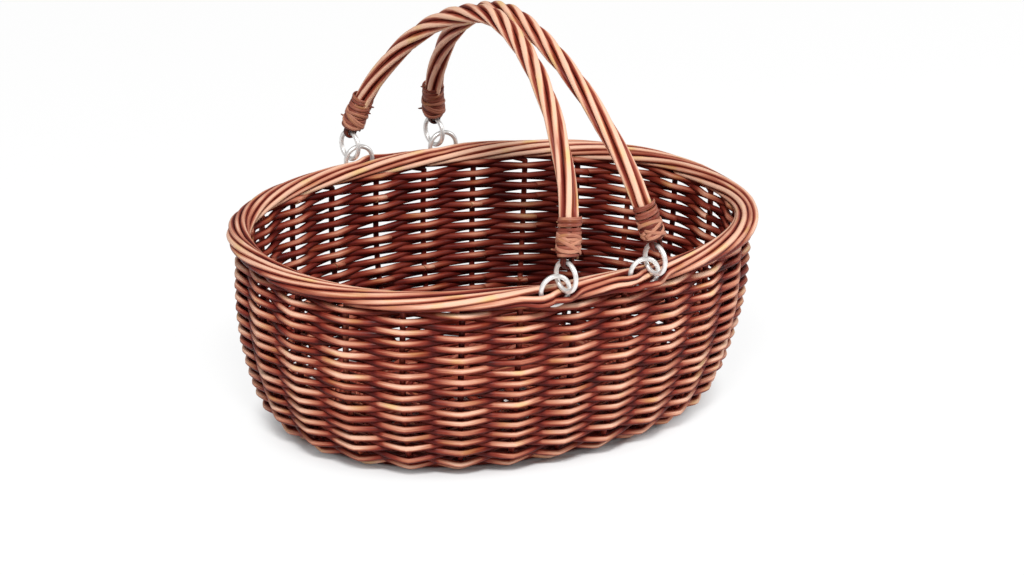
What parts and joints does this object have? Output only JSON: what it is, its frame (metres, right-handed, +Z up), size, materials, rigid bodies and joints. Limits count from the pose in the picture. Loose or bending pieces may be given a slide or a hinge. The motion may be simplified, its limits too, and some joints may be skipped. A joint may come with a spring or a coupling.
{
  "type": "egg collection basket",
  "caption": "Oval dark-stained willow basket with a rolled border and two roped swing handles on linked metal rings, for carrying eggs.",
  "frame": {"origin": "centre of the overall box in plan, on the floor the basket stands on", "axes": "+X along the basket's long axis, +Y from the front to the rear, +Z up"},
  "size_m": [0.3986, 0.3258, 0.301],
  "materials": {
    "brown_willow": "dark stained, satin",
    "binding_skein": "stained, satin",
    "bright_wire": "bright"
  },
  "bodies": {
    "basket": {"base_cross_sticks": "brown_willow", "base_long_sticks": "brown_willow", "foot_rod": "brown_willow", "stakes_and_border": "brown_willow", "base_weave": "brown_willow", "corner_weave": "brown_willow", "lower_weave": "brown_willow", "middle_weave": "brown_willow", "upper_weave": "brown_willow"},
    "rim_ring_front_left": {"rim_ring_front_left": "bright_wire"},
    "handle_ring_front_left": {"handle_ring_front_left": "bright_wire"},
    "rim_ring_front_right": {"rim_ring_front_right": "bright_wire"},
    "handle_ring_front_right": {"handle_ring_front_right": "bright_wire"},
    "rim_ring_rear_left": {"rim_ring_rear_left": "bright_wire"},
    "handle_ring_rear_left": {"handle_ring_rear_left": "bright_wire"},
    "rim_ring_rear_right": {"rim_ring_rear_right": "bright_wire"},
    "handle_ring_rear_right": {"handle_ring_rear_right": "bright_wire"},
    "handle_left": {"handle_core_left": "brown_willow", "handle_strand_left_1": "brown_willow", "handle_strand_left_2": "brown_willow", "handle_strand_left_3": "brown_willow", "handle_strand_left_4": "brown_willow", "handle_strand_left_5": "brown_willow", "binding_front_left": "binding_skein", "binding_rear_left": "binding_skein", "eye_front_left": "binding_skein", "eye_rear_left": "binding_skein"},
    "handle_right": {"handle_core_right": "brown_willow", "handle_strand_right_1": "brown_willow", "handle_strand_right_2": "brown_willow", "handle_strand_right_3": "brown_willow", "handle_strand_right_4": "brown_willow", "handle_strand_right_5": "brown_willow", "binding_front_right": "binding_skein", "binding_rear_right": "binding_skein", "eye_front_right": "binding_skein", "eye_rear_right": "binding_skein"}
  },
  "joints": [
    {"name": "rim_ring_turn_front_left", "type": "hinge", "parent": "basket", "child": "rim_ring_front_left", "pos_m": [-0.0418, -0.1462, 0.1452], "axis": [0.1564, 0.9877, 0], "continuous": true},
    {"name": "rim_ring_turn_front_right", "type": "hinge", "parent": "basket", "child": "rim_ring_front_right", "pos_m": [0.031, -0.1462, 0.1452], "axis": [0.1564, 0.9877, 0], "continuous": true},
    {"name": "rim_ring_turn_rear_left", "type": "hinge", "parent": "basket", "child": "rim_ring_rear_left", "pos_m": [-0.031, 0.1462, 0.1452], "axis": [0.1564, 0.9877, 0], "continuous": true},
    {"name": "rim_ring_turn_rear_right", "type": "hinge", "parent": "basket", "child": "rim_ring_rear_right", "pos_m": [0.0418, 0.1462, 0.1452], "axis": [0.1564, 0.9877, 0], "continuous": true},
    {"name": "handle_ring_swing_front_left", "type": "hinge", "parent": "basket", "child": "handle_ring_front_left", "pos_m": [-0.0364, -0.1514, 0.1457], "axis": [0, -1, 0], "range_deg": [0, 45]},
    {"name": "handle_swing_left", "type": "hinge", "parent": "handle_ring_front_left", "child": "handle_left", "pos_m": [-0.0364, -0.1514, 0.1665], "axis": [0, -1, 0], "range_deg": [0, 58.5]},
    {"name": "handle_ring_swing_rear_left", "type": "hinge", "parent": "handle_left", "child": "handle_ring_rear_left", "pos_m": [-0.0364, 0.1514, 0.1665], "axis": [0, -1, 0], "range_deg": [-58.5, 0]},
    {"name": "handle_ring_swing_front_right", "type": "hinge", "parent": "basket", "child": "handle_ring_front_right", "pos_m": [0.0364, -0.1514, 0.1457], "axis": [0, 1, 0], "range_deg": [0, 45]},
    {"name": "handle_swing_right", "type": "hinge", "parent": "handle_ring_front_right", "child": "handle_right", "pos_m": [0.0364, -0.1514, 0.1665], "axis": [0, 1, 0], "range_deg": [0, 58.5]},
    {"name": "handle_ring_swing_rear_right", "type": "hinge", "parent": "handle_right", "child": "handle_ring_rear_right", "pos_m": [0.0364, 0.1514, 0.1665], "axis": [0, 1, 0], "range_deg": [-58.5, 0]}
  ],
  "couplings": [
    {"joint": "handle_swing_left", "follows": "handle_ring_swing_front_left", "ratio": 1.3},
    {"joint": "handle_ring_swing_rear_left", "follows": "handle_ring_swing_front_left", "ratio": -1.3},
    {"joint": "handle_swing_right", "follows": "handle_ring_swing_front_right", "ratio": 1.3},
    {"joint": "handle_ring_swing_rear_right", "follows": "handle_ring_swing_front_right", "ratio": -1.3}
  ]
}
